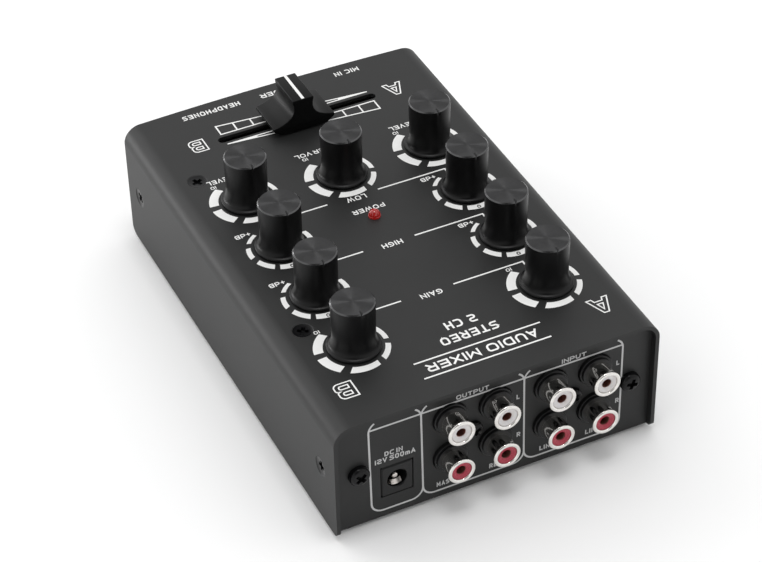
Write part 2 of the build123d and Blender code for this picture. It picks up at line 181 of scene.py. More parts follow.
def grained(name, colour, roughness, grain, relief, vary=0.12, rough_vary=0.05, **sockets):
    """A moulded, painted or printed surface: fine grain, slow colour drift and uneven gloss."""
    look = Shader(name, **sockets)
    fine = look.noise(grain).outputs["Fac"]
    slow = look.noise(grain * DRIFT, detail=2.0).outputs["Fac"]
    look.colour_between(slow, shade(colour, 1 - vary), shade(colour, 1 + vary))
    look.rough_between(fine, roughness - rough_vary, roughness + rough_vary)
    look.bump(fine, relief)
    return look.material


def spun_metal(name, colour, roughness, marks=1.6, relief=0.002, vary=0.15, rough_vary=0.03):
    """Turned metal: light stretches round the axis, over fine concentric tool marks."""
    look = Shader(name, Metallic=0.85, Anisotropic=1.0)
    rings = look.node(
        "ShaderNodeTexWave",
        {"wave_type": "RINGS", "rings_direction": "Z", "wave_profile": "SIN"},
        Vector=look.place(),
        Scale=1 / (marks * MM),
        Distortion=0.0,
    )
    look.colour_between(look.noise(2.5).outputs["Fac"], shade(colour, 1 - vary), shade(colour, 1 + vary))
    look.rough_between(rings.outputs["Fac"], roughness - rough_vary, roughness + rough_vary)
    tangent = look.node("ShaderNodeTangent", {"direction_type": "RADIAL", "axis": "Z"})
    look.link(tangent.outputs["Tangent"], look.main.inputs["Tangent"])
    look.bump(rings.outputs["Fac"], relief, 0.3)
    return look.material


def plated(name, colour, roughness, grain=0.8, relief=0.002, tints=(0.92, 1.05), gloss=(0.8, 1.4)):
    """Polished plating with faint clouding."""
    look = Shader(name, Metallic=1.0)
    cloud = look.noise(grain).outputs["Fac"]
    look.colour_between(cloud, shade(colour, tints[0]), shade(colour, tints[1]))
    look.rough_between(cloud, roughness * gloss[0], roughness * gloss[1])
    look.bump(cloud, relief, 0.5)
    return look.material


def board_material():
    """Green solder mask over tracks that show as slightly lighter lanes."""
    look = Shader("solder_mask", Coat_Weight=0.3)
    scale = 1 / (TRACK_LONG * MM)
    lanes = look.node("ShaderNodeTexBrick", Vector=look.place(), Scale=scale, Mortar_Size=TRACK_GAP)
    look.colour_between(lanes.outputs["Fac"], MASK_DARK, MASK_LIGHT)
    look.rough_between(look.noise(1.5).outputs["Fac"], 0.25, 0.4)
    look.bump(lanes.outputs["Fac"], 0.03)
    return look.material


def lamp_material():
    """Red cast lens, glowing a little from inside."""
    look = Shader("lamp_red", Transmission_Weight=0.25, IOR=1.49, Coat_Weight=0.6)
    look.main.inputs["Emission Color"].default_value = GLOW
    look.main.inputs["Emission Strength"].default_value = GLOW_LEVEL
    cloud = look.noise(0.6).outputs["Fac"]
    look.colour_between(cloud, LENS_DARK, LENS_LIGHT)
    look.rough_between(cloud, 0.08, 0.16)
    look.bump(cloud, 0.004)
    return look.material


COAT_COLOUR = (0.0115, 0.0118, 0.0118)
LOOKS = {
    "coat": grained("powder_coat", COAT_COLOUR, 0.5, 0.22, 0.012, vary=0.06, Specular_IOR_Level=0.36),
    "grip": grained("knob_grip", (0.0025, 0.0025, 0.0027), 0.36, 0.5, 0.004, Specular_IOR_Level=0.22),
    "spun": spun_metal("knob_top", (0.046, 0.046, 0.047), 0.36),
    "edge": plated("knob_edge", (0.1, 0.1, 0.102), 0.22),
    "cap": grained("fader_cap", (0.003, 0.0031, 0.0031), 0.42, 0.3, 0.006, Specular_IOR_Level=0.14),
    "line": grained("cap_line", (0.8, 0.8, 0.79), 0.45, 0.3, 0.003, vary=0.03),
    "ink": grained("white_ink", (0.83, 0.83, 0.82), 0.5, 0.25, 0.004, vary=0.03),
    "grey_ink": grained("grey_ink", (0.5, 0.5, 0.5), 0.5, 0.25, 0.004, vary=0.05),
    "black_ink": grained("black_ink", (0.02, 0.02, 0.02), 0.5, 0.25, 0.004, vary=0.05),
    "nickel": plated("nickel", (0.80, 0.78, 0.75), 0.09),
    "contact": plated("contact", (0.62, 0.58, 0.55), 0.2),
    "bore": plated("contact_bore", (0.4, 0.2, 0.16), 0.5),
    "white": grained("white_insert", (0.72, 0.67, 0.65), 0.3, 0.4, 0.004, vary=0.04, Subsurface_Weight=0.1),
    "red": grained("red_insert", (0.36, 0.02, 0.045), 0.28, 0.4, 0.004, vary=0.06),
    "moulding": grained("black_moulding", (0.006, 0.006, 0.0063), 0.3, 0.3, 0.005, Specular_IOR_Level=0.3),
    "screw": grained("black_screw", (0.005, 0.005, 0.0055), 0.22, 0.3, 0.006, Specular_IOR_Level=0.2),
    "rubber": grained("foot_rubber", (0.02, 0.02, 0.02), 0.75, 0.35, 0.02),
    "zinc": plated("zinc", (0.55, 0.56, 0.57), 0.3, grain=1.5, relief=0.01),
    "shaft": grained("shaft_plastic", (0.08, 0.08, 0.08), 0.5, 0.4, 0.01),
    "board": board_material(),
    "lamp": lamp_material(),
}

# ---------------------------------------------------------------- mesh helpers

SMOOTH_ANGLE = math.radians(32)
ROUND_STEPS = 96
SMALL_STEPS = 48
ON_AXIS = 1e-6
CUT_PAST = 1.0  # how far a cutting tool reaches past the surface it cuts
ALONG_Y = Matrix.Rotation(-math.pi / 2, 4, "X")  # sends +Z out of the rear panel


def to_mesh(name, bm):
    """A finished mesh in metres from one drawn in millimetres, smooth except across sharp edges."""
    bmesh.ops.recalc_face_normals(bm, faces=bm.faces)
    bmesh.ops.scale(bm, vec=(MM, MM, MM), verts=bm.verts)
    mesh = bpy.data.meshes.new(name)
    bm.to_mesh(mesh)
    bm.free()
    mesh.shade_smooth()
    mesh.set_sharp_from_angle(angle=SMOOTH_ANGLE)
    return mesh


def add_piece(name, mesh, looks, body="case", at=(0, 0, 0), stands_for=(), turn=Matrix()):
    """Puts a mesh in the scene, turned and at a place in millimetres, and hands it to the frame."""
    piece = bpy.data.objects.new(name, mesh)
    bpy.context.scene.collection.objects.link(piece)
    if not mesh.materials:
        for look in looks:
            mesh.materials.append(LOOKS[look])
    piece.matrix_world = Matrix.Translation(Vector(at) * MM) @ turn
    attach(piece, body)
    if stands_for:
        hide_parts(*stands_for)


def lathe(bm, profile, steps=ROUND_STEPS, closed=False, place=Matrix(), material=0):
    """Spins (radius, height) points round Z. A point on the axis becomes one vertex."""
    rings = []
    for radius, z in profile:
        turns = range(steps) if radius > ON_AXIS else range(1)
        angles = [2 * math.pi * step / steps for step in turns]
        points = [Vector((radius * math.sin(a), radius * math.cos(a), z)) for a in angles]
        rings.append([bm.verts.new(place @ point) for point in points])
    pairs = list(zip(rings, rings[1:])) + ([(rings[-1], rings[0])] if closed else [])
    for lower, upper in pairs:
        for step in range(steps):
            corner = [lower[step % len(lower)], lower[(step + 1) % len(lower)]]
            corner += [upper[(step + 1) % len(upper)], upper[step % len(upper)]]
            unique = list(dict.fromkeys(corner))
            if len(unique) > 2:
                bm.faces.new(unique).material_index = material


def arc(centre, radius, start, end, steps):
    """Points on an arc, from one angle in degrees to another."""
    angles = [math.radians(start + (end - start) * step / steps) for step in range(steps + 1)]
    return [(centre[0] + radius * math.cos(a), centre[1] + radius * math.sin(a)) for a in angles]


def brick(bm, low, high):
    """A box between two corners."""
    size = [b - a for a, b in zip(low, high)]
    centre = [(a + b) / 2 for a, b in zip(low, high)]
    made = bmesh.ops.create_cube(bm, size=1, matrix=Matrix.LocRotScale(Vector(centre), None, Vector(size)))
    return made["verts"]


def combine(name, base, tool, operation="DIFFERENCE"):
    """The mesh left when a tool is cut out of a base, or where the two overlap."""
    holder = bpy.data.objects.new(name, base)
    other = bpy.data.objects.new("tool", tool)
    for item in (holder, other):
        bpy.context.scene.collection.objects.link(item)
    modifier = holder.modifiers.new("combine", "BOOLEAN")
    modifier.operation = operation
    modifier.solver = "EXACT"
    modifier.object = other
    result = bpy.data.meshes.new_from_object(holder.evaluated_get(bpy.context.evaluated_depsgraph_get()))
    for item in (holder, other):
        bpy.data.objects.remove(item)
    for spare in (base, tool):
        bpy.data.meshes.remove(spare)
    result.name = name
    result.materials.clear()
    result.shade_smooth()
    result.set_sharp_from_angle(angle=SMOOTH_ANGLE)
    return result


# ---------------------------------------------------------------- print

INK_HIGH = 0.03
INK_LOW = -0.02
OVERPRINT_HIGH = 0.05
INK_STEP = 0.0015
INK_STEPS = itertools.cycle(step * INK_STEP for step in range(7))  # keeps crossing lines out of one plane
CORNER_STEPS = 6
STRAIGHT = math.radians(89)  # half the angle of a corner too flat to be rounded
MITRE_LIMIT = 0.45


def rounded(points, radius):
    """A path with its inner corners turned into arcs, no larger than its runs allow."""
    points = [Vector(point) for point in points]
    path = []
    for index, point in enumerate(points):
        if radius <= 0 or index in (0, len(points) - 1):
            path.append(point)
            continue
        back = points[index - 1] - point
        ahead = points[index + 1] - point
        half = back.angle(ahead) / 2
        if half > STRAIGHT:
            path.append(point)
            continue
        run = min(radius / math.tan(half), back.length / 2, ahead.length / 2)
        start = point + back.normalized() * run
        centre = point + (back.normalized() + ahead.normalized()).normalized() * (run / math.cos(half))
        end = point + ahead.normalized() * run
        sweep = (start - centre).angle_signed(end - centre)
        for step in range(CORNER_STEPS + 1):
            turn = Matrix.Rotation(-sweep * step / CORNER_STEPS, 2)
            path.append(centre + turn @ (start - centre))
    return path


def edges(path, width, closed=False):
    """The two edges of a line drawn along a path, mitred at its corners."""
    left, right = [], []
    count = len(path)
    for index, point in enumerate(path):
        before = point - path[index - 1] if closed or index else path[1] - point
        after = path[(index + 1) % count] - point if closed or index < count - 1 else before
        across = [Vector((-run.y, run.x)).normalized() for run in (before, after)]
        normal = (across[0] + across[1]).normalized()
        reach = width / 2 / max(normal.dot(across[0]), MITRE_LIMIT)
        left.append(point + normal * reach)
        right.append(point - normal * reach)
    return left, right


def slab(bm, place, left, right, high=INK_HIGH, closed=False):
    """A thin plate of ink between two rows of points, lying on the plane of place."""
    high += next(INK_STEPS)
    layers = ((left, high), (right, high), (right, INK_LOW), (left, INK_LOW))
    rows = [[bm.verts.new(place @ Vector((*point, z))) for point in row] for row, z in layers]
    count = len(left)
    for index in range(count if closed else count - 1):
        after = (index + 1) % count
        for row, beside in zip(rows, rows[1:] + rows[:1]):
            bm.faces.new((row[index], beside[index], beside[after], row[after]))
    if not closed:
        bm.faces.new([row[0] for row in rows])
        bm.faces.new([row[-1] for row in rows])


def stroke(bm, place, points, width, radius=0.0, square=False, high=INK_HIGH):
    """A printed line. Square ends reach half a width past the path."""
    path = rounded(points, radius)
    if square:
        path[0] = path[0] + (path[0] - path[1]).normalized() * width / 2
        path[-1] = path[-1] + (path[-1] - path[-2]).normalized() * width / 2
    slab(bm, place, *edges(path, width), high)


# Each letter is its centre lines in a unit box. "~" is a narrow space. Letters in ROUND have round corners.
LETTERS = {
    "A": [((0, 0), (0.5, 1), (1, 0)), ((0.2, 0.28), (0.8, 0.28))],
    "B": [
        ((0, 0), (0, 1)),
        ((0, 1), (0.95, 1), (0.95, 0.52), (0, 0.52)),
        ((0.5, 0.52), (1, 0.52), (1, 0), (0, 0)),
    ],
    "C": [((1, 1), (0, 1), (0, 0), (1, 0))],
    "D": [((0, 0), (0, 1)), ((0, 1), (1, 1), (1, 0), (0, 0))],
    "E": [((1, 1), (0, 1), (0, 0), (1, 0)), ((0, 0.5), (0.9, 0.5))],
    "F": [((1, 1), (0, 1), (0, 0)), ((0, 0.5), (0.85, 0.5))],
    "G": [((1, 1), (0, 1), (0, 0), (1, 0), (1, 0.5), (0.55, 0.5))],
    "H": [((0, 0), (0, 1)), ((1, 0), (1, 1)), ((0, 0.5), (1, 0.5))],
    "I": [((0, 0), (0, 1))],
    "L": [((0, 1), (0, 0), (1, 0))],
    "M": [((0, 0), (0, 1), (0.5, 0.3), (1, 1), (1, 0))],
    "N": [((0, 0), (0, 1), (1, 0), (1, 1))],
    "O": [((0.5, 1), (0, 1), (0, 0), (1, 0), (1, 1), (0.5, 1))],
    "P": [((0, 0), (0, 1)), ((0, 1), (1, 1), (1, 0.42), (0, 0.42))],
    "R": [((0, 0), (0, 1)), ((0, 1), (1, 1), (1, 0.42), (0, 0.42)), ((0.45, 0.42), (1, 0))],
    "S": [((1, 1), (0, 1), (0, 0.5), (1, 0.5), (1, 0), (0, 0))],
    "T": [((0, 1), (1, 1)), ((0.5, 1), (0.5, 0))],
    "U": [((0, 1), (0, 0), (1, 0), (1, 1))],
    "V": [((0, 1), (0.5, 0), (1, 1))],
    "W": [((0, 1), (0.25, 0), (0.5, 0.85), (0.75, 0), (1, 1))],
    "X": [((0, 0), (1, 1)), ((0, 1), (1, 0))],
    "0": [((0.5, 1), (0, 1), (0, 0), (1, 0), (1, 1), (0.5, 1))],
    "1": [((0, 0), (0, 1))],
    "2": [((0, 1), (1, 1), (1, 0.5), (0, 0.5), (0, 0), (1, 0))],
    "5": [((1, 1), (0, 1), (0, 0.55), (1, 0.55), (1, 0), (0, 0))],
    "d": [((1, 1), (1, 0)), ((1, 0), (0, 0), (0, 0.62), (1, 0.62))],
    "m": [((0, 0), (0, 0.65)), ((0, 0.65), (0.5, 0.65), (0.5, 0)), ((0.5, 0.65), (1, 0.65), (1, 0))],
    "+": [((0, 0.45), (1, 0.45)), ((0.5, 0.1), (0.5, 0.8))],
    "-": [((0, 0.45), (1, 0.45))],
    " ": [],
    "~": [],
}
ROUND = "BCDGOPRSU025dm"
LETTER_WIDE = 0.8
LETTER_WIDTHS = {"I": 0.0, "L": 0.65, "M": 1.0, "O": 0.9, "W": 1.25, "m": 0.9, "0": 0.7, "1": 0.0, "+": 0.6}
LETTER_WIDTHS.update({" ": 0.1, "~": -0.2})
LETTER_SPACE = 0.2
LETTER_WEIGHT = 0.185
LETTER_ROUND = 0.34


def write(bm, place, words, centre, height, width, weight=LETTER_WEIGHT, high=INK_HIGH):
    """A line of lettering, stretched to a width and centred on a point."""
    thick = weight * height
    widths = [LETTER_WIDTHS.get(letter, LETTER_WIDE) for letter in words]
    gap = thick + LETTER_SPACE * height
    stretch = (width - thick - gap * (len(words) - 1)) / max(sum(widths), 1)
    x = centre[0] - (width - thick) / 2
    base = centre[1] - (height - thick) / 2
    for letter, wide in zip(words, widths):
        radius = LETTER_ROUND * height if letter in ROUND else 0.0
        for points in LETTERS[letter]:
            path = [(x + wide * stretch * px, base + (height - thick) * py) for px, py in points]
            stroke(bm, place, path, thick, radius, square=letter not in "O0", high=high)
        x += wide * stretch + gap


TOP_PLANE = Matrix.Translation((0, CASE_Y, TOP_Z))
FROM_BEHIND = Matrix(((-1, 0, 0, 0), (0, 0, 1, 0), (0, 1, 0, 0), (0, 0, 0, 1)))
REAR_PLANE = Matrix.Translation((0, PANEL_Y, 0)) @ FROM_BEHIND


def knob_axis(name):
    """A knob's axis in the case's frame."""
    centre = middle(f"knob_{name}")
    return Vector((centre.x, centre.y - CASE_Y))


def is_tone(name):
    return name.startswith(("high", "low"))


# Scale rings: a thick crescent for the volume controls, an even ring for the tone controls
VOLUME_INNER = 8.64
VOLUME_OUTER = 10.76
VOLUME_SHIFT = Vector((0.68, 0.09))
VOLUME_PARTS = ((-138, -84.2), (-72.5, -35), (-22.2, 27.5), (42.3, 86.4), (99, 147))
TONE_INNER = 8.54
TONE_OUTER = 10.09
TONE_INNER_SHIFT = Vector((0.25, -0.32))
TONE_OUTER_SHIFT = Vector((0.25, 0.18))
TONE_PARTS = ((33.7, 67.5), (81.5, 111), (124.4, 150.8))
TONE_TOP = (-24.4, 24.4)
RING_STEP = 3.0
ZERO_PLACE = Vector((0.95, 9.3))
ZERO_SIZE = (1.35, 1.5)
ZERO_WEIGHT = 0.24


def ring_part(bm, centre, inner, outer, inner_shift, outer_shift, start, end):
    """One printed part of a ring, its angles clockwise from +Y."""
    steps = max(4, round((end - start) / RING_STEP))
    rows = []
    for radius, shift in ((outer, outer_shift), (inner, inner_shift)):
        rows.append([Vector(point) for point in arc(centre + shift, radius, 90 - start, 90 - end, steps)])
    slab(bm, TOP_PLANE, *rows)


def print_rings():
    rings = bmesh.new()
    zeros = bmesh.new()
    for name in KNOBS:
        centre = knob_axis(name)
        if is_tone(name):
            shifts = (TONE_INNER_SHIFT, TONE_OUTER_SHIFT)
            sides = [(sign * a, sign * b) for sign in (-1, 1) for a, b in TONE_PARTS]
            for start, end in [TONE_TOP] + [tuple(sorted(side)) for side in sides]:
                ring_part(rings, centre, TONE_INNER, TONE_OUTER, *shifts, start, end)
            write(zeros, TOP_PLANE, "0", centre + ZERO_PLACE, *ZERO_SIZE, ZERO_WEIGHT, OVERPRINT_HIGH)
        else:
            shifts = (Vector((0, 0)), VOLUME_SHIFT)
            for start, end in VOLUME_PARTS:
                ring_part(rings, centre, VOLUME_INNER, VOLUME_OUTER, *shifts, start, end)
    add_piece("print_rings", to_mesh("print_rings", rings), ["ink"])
    add_piece("print_zeros", to_mesh("print_zeros", zeros), ["black_ink"])


# Words on the top: text, centre, height, width
TOP_WORDS = (
    ("GAIN", (1.06, 36.6), 2.0, 6.7),
    ("HIGH", (1.03, 11.5), 2.0, 6.4),
    ("LOW", (1.1, -12.6), 2.0, 6.2),
    ("POWER", (0.05, -6.4), 1.9, 10.2),
    ("MASTER~VOL", (0.35, -38.8), 1.8, 17.6),
    ("MIC  LEVEL", (-30.0, -38.8), 1.9, 15.2),
    ("CUE  LEVEL", (30.2, -38.8), 1.9, 15.2),
    ("FADER", (0.2, -72.6), 2.1, 10.9),
    ("HEADPHONES", (22.3, -72.6), 2.1, 19.0),
    ("MIC IN", (-23.8, -72.7), 2.05, 8.2),
    ("AUDIO MIXER", (-0.7, 64.5), 3.2, 34.0),
    ("STEREO", (-0.7, 56.5), 3.2, 17.6),
    ("2 CH", (-0.7, 51.1), 3.2, 9.5),
)
# Marks beside a knob: text, place from its axis, height, width
TONE_MARKS = (("+dB", (8.1, -9.45), 1.75, 4.8), ("-dB", (-7.8, -9.45), 1.7, 4.8))
VOLUME_MARKS = (("10", (7.0, -9.9), 1.35, 2.1), ("0", (-6.7, -9.9), 1.3, 1.3))
MASTER_MARKS = (("10", (7.0, -11.8), 1.35, 2.1), ("0", (-6.7, -11.8), 1.3, 1.3))
RULE_WIDE = 0.5
RULE_ROWS = (35.6, 10.9, -13.6)
RULE_LEFT = (-28.5, -6.4)
RULE_RIGHT = (28.5, 10.1)
RULE_TICK = 1.45
TITLE_RULES = (61.2, 67.8)
TITLE_HALF = 19.5
TITLE_X = -0.7


def print_words():
    words = bmesh.new()
    for text, centre, height, width in TOP_WORDS:
        write(words, TOP_PLANE, text, centre, height, width)
    for name in KNOBS:
        volume_marks = MASTER_MARKS if name == "master" else VOLUME_MARKS
        for text, place, height, width in TONE_MARKS if is_tone(name) else volume_marks:
            write(words, TOP_PLANE, text, knob_axis(name) + Vector(place), height, width)
    add_piece("print_words", to_mesh("print_words", words), ["ink"])


def print_rules():
    rules = bmesh.new()
    for y in RULE_ROWS:
        for outer, inner in (RULE_LEFT, RULE_RIGHT):
            stroke(rules, TOP_PLANE, ((outer, y + RULE_TICK), (outer, y), (inner, y)), RULE_WIDE)
    for y in TITLE_RULES:
        stroke(rules, TOP_PLANE, ((TITLE_X - TITLE_HALF, y), (TITLE_X + TITLE_HALF, y)), RULE_WIDE)
    add_piece("print_rules", to_mesh("print_rules", rules), ["ink"])


# Channel letters, drawn as outlines in a unit box with a radius for each corner, or 0.0 where all are sharp,
# and where they stand: centre, width, height
OUTLINE_WIDE = 0.4
OUTLINE_A = (
    (((0, 0), (0.38, 1), (0.62, 1), (1, 0), (0.76, 0), (0.69, 0.2), (0.31, 0.2), (0.24, 0)), 0.0),
    (((0.36, 0.38), (0.5, 0.78), (0.64, 0.38)), 0.0),
)
OUTLINE_B = (
    (
        ((0, 0), (0, 1), (0.94, 1), (0.94, 0.54), (0.76, 0.5), (1, 0.48), (1, 0)),
        (0, 0, 1.6, 1.3, 0, 1.4, 1.6),
    ),
    (((0.25, 0.18), (0.25, 0.39), (0.76, 0.39), (0.76, 0.18)), (0, 0, 0.6, 0.6)),
    (((0.25, 0.6), (0.25, 0.81), (0.7, 0.81), (0.7, 0.6)), (0, 0, 0.6, 0.6)),
)
CHANNEL_LETTERS = (
    (OUTLINE_A, (-38.95, 62.6), 6.45, 6.3),
    (OUTLINE_B, (39.7, 62.3), 5.5, 6.2),
    (OUTLINE_A, (-33.2, -57.4), 5.9, 5.9),
    (OUTLINE_B, (32.85, -57.7), 4.85, 5.75),
)


def round_some(points, radii):
    """A closed path with a radius of its own at each corner."""
    path = []
    count = len(points)
    for index, radius in enumerate(radii):
        near = [Vector(points[(index + step) % count]) for step in (-1, 0, 1)]
        path += rounded(near, radius)[1:-1]
    return path


def print_channels():
    letters = bmesh.new()
    for outlines, centre, width, height in CHANNEL_LETTERS:
        low = Vector(centre) - Vector((width, height)) / 2
        for points, radii in outlines:
            sized = [low + Vector((width * px, height * py)) for px, py in points]
            path = round_some(sized, radii or [0.0] * len(points))
            slab(letters, TOP_PLANE, *edges(path, OUTLINE_WIDE, True), closed=True)
    add_piece("print_channels", to_mesh("print_channels", letters), ["ink"])


# Crossfader scale: two long wedges, one each side of the slot, the second the first turned half round
SCALE_LINE = 0.46
SCALE_MIDDLE = Vector((-0.2, -57.3))
SCALE_TALL_X = -24.5
SCALE_POINT_X = 24.4
SCALE_SOLID_X = 15.0
SCALE_OUT = 7.2
SCALE_IN = 2.7
SCALE_DIVISIONS = (-19.1, -13.6)
SCALE_TIP_WIDE = 0.05


def print_fader_scale():
    scale = bmesh.new()
    tip = Vector((SCALE_POINT_X, SCALE_IN))
    outline = (Vector((SCALE_TALL_X, SCALE_IN)), Vector((SCALE_TALL_X, SCALE_OUT)), tip)
    slope = (tip.y - outline[1].y) / (tip.x - outline[1].x)
    for turn in (1, -1):
        corner = [SCALE_MIDDLE + turn * point for point in outline]
        for start, end in zip(corner, corner[1:] + corner[:1]):
            stroke(scale, TOP_PLANE, (start, end), SCALE_LINE, square=True)
        near = [Vector((SCALE_SOLID_X, SCALE_IN)), tip]
        solid_out = SCALE_OUT + slope * (SCALE_SOLID_X - SCALE_TALL_X)
        far = [Vector((SCALE_SOLID_X, solid_out)), tip + Vector((0, SCALE_TIP_WIDE))]
        slab(scale, TOP_PLANE, *[[SCALE_MIDDLE + turn * point for point in row] for row in (near, far)])
        for x in SCALE_DIVISIONS:
            top = Vector((x, SCALE_OUT + slope * (x - SCALE_TALL_X)))
            foot = Vector((x, SCALE_IN))
            stroke(scale, TOP_PLANE, [SCALE_MIDDLE + turn * point for point in (foot, top)], SCALE_LINE)
    add_piece("print_fader_scale", to_mesh("print_fader_scale", scale), ["ink"])


# Rear print, read from behind: x runs towards the case's -X side.
# Each upright line has a place at its top and one at its bottom, because the print leans a hair.
REAR_UPRIGHTS = ((-38.7, -38.3), (-22.95, -22.55), (8.6, 8.95), (39.6, 39.6))
REAR_LOW = 3.7
REAR_HIGH = 37.3
REAR_ROUND = 3.5
REAR_TURN = 60.0
REAR_LINE = 0.55
REAR_WEIGHT = 0.2
HEADER_Z = 34.65
REAR_WORDS = (
    ("OUTPUT", (-7.3, 36.0), 1.5, 10.0),
    ("INPUT", (24.1, 36.0), 1.5, 7.7),
    ("DC~IN", (-31.35, 24.4), 1.65, 5.5),
    ("12V~500mA", (-30.9, 22.35), 1.7, 12.25),
    ("MASTER", (-14.4, 6.0), 1.65, 8.0),
    ("REC", (0.0, 6.0), 1.65, 3.9),
    ("LINE", (16.3, 6.0), 1.65, 4.7),
    ("LINE", (31.0, 6.0), 1.65, 4.7),
    ("L", (6.9, 28.6), 1.65, 1.25),
    ("R", (7.2, 14.4), 1.65, 1.3),
    ("L", (38.4, 28.5), 1.65, 1.25),
    ("R", (38.7, 14.2), 1.65, 1.3),
)


def print_rear():
    """Three frames open at their tops, the line under the headings, and the words."""
    rear = bmesh.new()
    turn_z = REAR_HIGH - REAR_ROUND
    for (top_left, low_left), (top_right, low_right) in zip(REAR_UPRIGHTS, REAR_UPRIGHTS[1:]):
        path = arc((top_left + REAR_ROUND, turn_z), REAR_ROUND, 180 - REAR_TURN, 180, CORNER_STEPS)
        frame_corners = ((top_left, turn_z), (low_left, REAR_LOW), (low_right, REAR_LOW), (top_right, turn_z))
        path += rounded(frame_corners, REAR_ROUND)[1:-1]
        path += arc((top_right - REAR_ROUND, turn_z), REAR_ROUND, 0, REAR_TURN, CORNER_STEPS)
        stroke(rear, REAR_PLANE, path, REAR_LINE)
    stroke(rear, REAR_PLANE, ((REAR_UPRIGHTS[0][0], HEADER_Z), (REAR_UPRIGHTS[3][0], HEADER_Z)), REAR_LINE)
    for text, centre, height, width in REAR_WORDS:
        write(rear, REAR_PLANE, text, centre, height, width, REAR_WEIGHT)
    add_piece("print_rear", to_mesh("print_rear", rear), ["grey_ink"])


# ---------------------------------------------------------------- knobs

KNOB_LOOKS = ("grip", "spun", "edge")
KNOB_H = 16.2
KNOB_LIFT = 0.5
KNOB_FLANGE_R = 7.75
KNOB_FLANGE_TOP = 1.0
KNOB_WAIST_R = 6.2
KNOB_WAIST_Z = 5.2
KNOB_TOP_R = 6.3
KNOB_BEVEL = 0.35
KNOB_FACE_RINGS = (5.65, 4.6, 3.0, 1.5)
KNOB_GRIP = (6.23, 9.0)
FLANGE_EDGE = 0.15
FLANGE_SHOULDER = (0.12, 0.25)
FLARE_START = (0.25, 0.1)
FLARE_POWER = 1.15
FLARE_STEPS = 10
NOTCH_LONG = 1.7
NOTCH_DEEP = 0.45
NOTCH_IN = 0.315
NOTCH_MARGIN = 0.1
SOCKET_R = 3.02
SOCKET_DEEP = 11.4
WELD = 0.001


def knob_mesh():
    """Grip with a flared foot, a bright bevel, a spun top and a pointer notch at +Y."""
    shoulder_in, shoulder_down = FLANGE_SHOULDER
    flare_in, flare_up = FLARE_START
    flange = [(KNOB_FLANGE_R - FLANGE_EDGE, KNOB_LIFT), (KNOB_FLANGE_R, KNOB_LIFT + FLANGE_EDGE)]
    flange.append((KNOB_FLANGE_R, KNOB_FLANGE_TOP - shoulder_down))
    flange.append((KNOB_FLANGE_R - shoulder_in, KNOB_FLANGE_TOP))
    flare = []
    rise = KNOB_WAIST_Z - KNOB_FLANGE_TOP - flare_up
    run = KNOB_FLANGE_R - flare_in - KNOB_WAIST_R
    for step in range(FLARE_STEPS + 1):
        turn = math.pi / 2 * step / FLARE_STEPS
        radius = KNOB_WAIST_R + run * (1 - math.sin(turn)) ** FLARE_POWER
        flare.append((radius, KNOB_WAIST_Z - rise * math.cos(turn)))
    side = [KNOB_GRIP, (KNOB_TOP_R, KNOB_H - NOTCH_LONG), (KNOB_TOP_R, KNOB_H - KNOB_BEVEL)]
    crown = [(KNOB_TOP_R, KNOB_H - KNOB_BEVEL), (KNOB_TOP_R - KNOB_BEVEL, KNOB_H)]
    face = [(radius, KNOB_H) for radius in (KNOB_TOP_R - KNOB_BEVEL, *KNOB_FACE_RINGS, 0)]
    inside = [(0, SOCKET_DEEP), (SOCKET_R, SOCKET_DEEP), (SOCKET_R, KNOB_LIFT)]
    bm = bmesh.new()
    lathe(bm, inside + flange + flare + side, material=KNOB_LOOKS.index("grip"))
    lathe(bm, crown, material=KNOB_LOOKS.index("edge"))
    lathe(bm, face, material=KNOB_LOOKS.index("spun"))
    bmesh.ops.remove_doubles(bm, verts=bm.verts, dist=WELD)
    for vertex in bm.verts:
        if abs(vertex.co.x) > WELD or vertex.co.y < KNOB_TOP_R - NOTCH_LONG + NOTCH_MARGIN:
            continue
        if vertex.co.z > KNOB_H - NOTCH_LONG + NOTCH_MARGIN:
            if vertex.co.z < KNOB_H - NOTCH_MARGIN:
                vertex.co.y -= NOTCH_IN
            vertex.co.z -= NOTCH_DEEP
    return to_mesh("knob", bm)


def add_knobs():
    mesh = knob_mesh()
    for name in KNOBS:
        centre = middle(f"knob_{name}")
        place = (centre.x, centre.y, TOP_Z)
        knob = [f"knob_{name}"]
        add_piece(f"dial_{name}", mesh, KNOB_LOOKS, f"{name}_control", place, knob)


# ---------------------------------------------------------------- crossfader cap

CAP_LONG = 13.8
CAP_FOOT = ((10.1, 2.4), (7.6, 0.6))
CAP_RIDGE = 3.4
CAP_TOP = 11.77
CAP_LINE_WIDE = 0.95
CAP_EDGE = 0.22
CAP_UPPER_FLANK = ((3.4, 11.0), (3.15, 9.8), (3.1, 8.6), (3.4, 7.2), (4.1, 6.0))
CAP_LOWER_FLANK = ((5.3, 5.0), (6.9, 4.2), (8.6, 3.7), (10.1, 3.4))
CAP_SHARP = math.radians(35)
CAP_LINE_DEEP = 0.3
CAP_LINE_EDGE = 0.02


def cap_profile():
    """The cap's section: a narrow ridge that spreads into a skirt on both sides."""
    right = [(CAP_RIDGE, CAP_TOP), *CAP_UPPER_FLANK, *CAP_LOWER_FLANK, *CAP_FOOT]
    return right + [(-x, z) for x, z in reversed(right)]


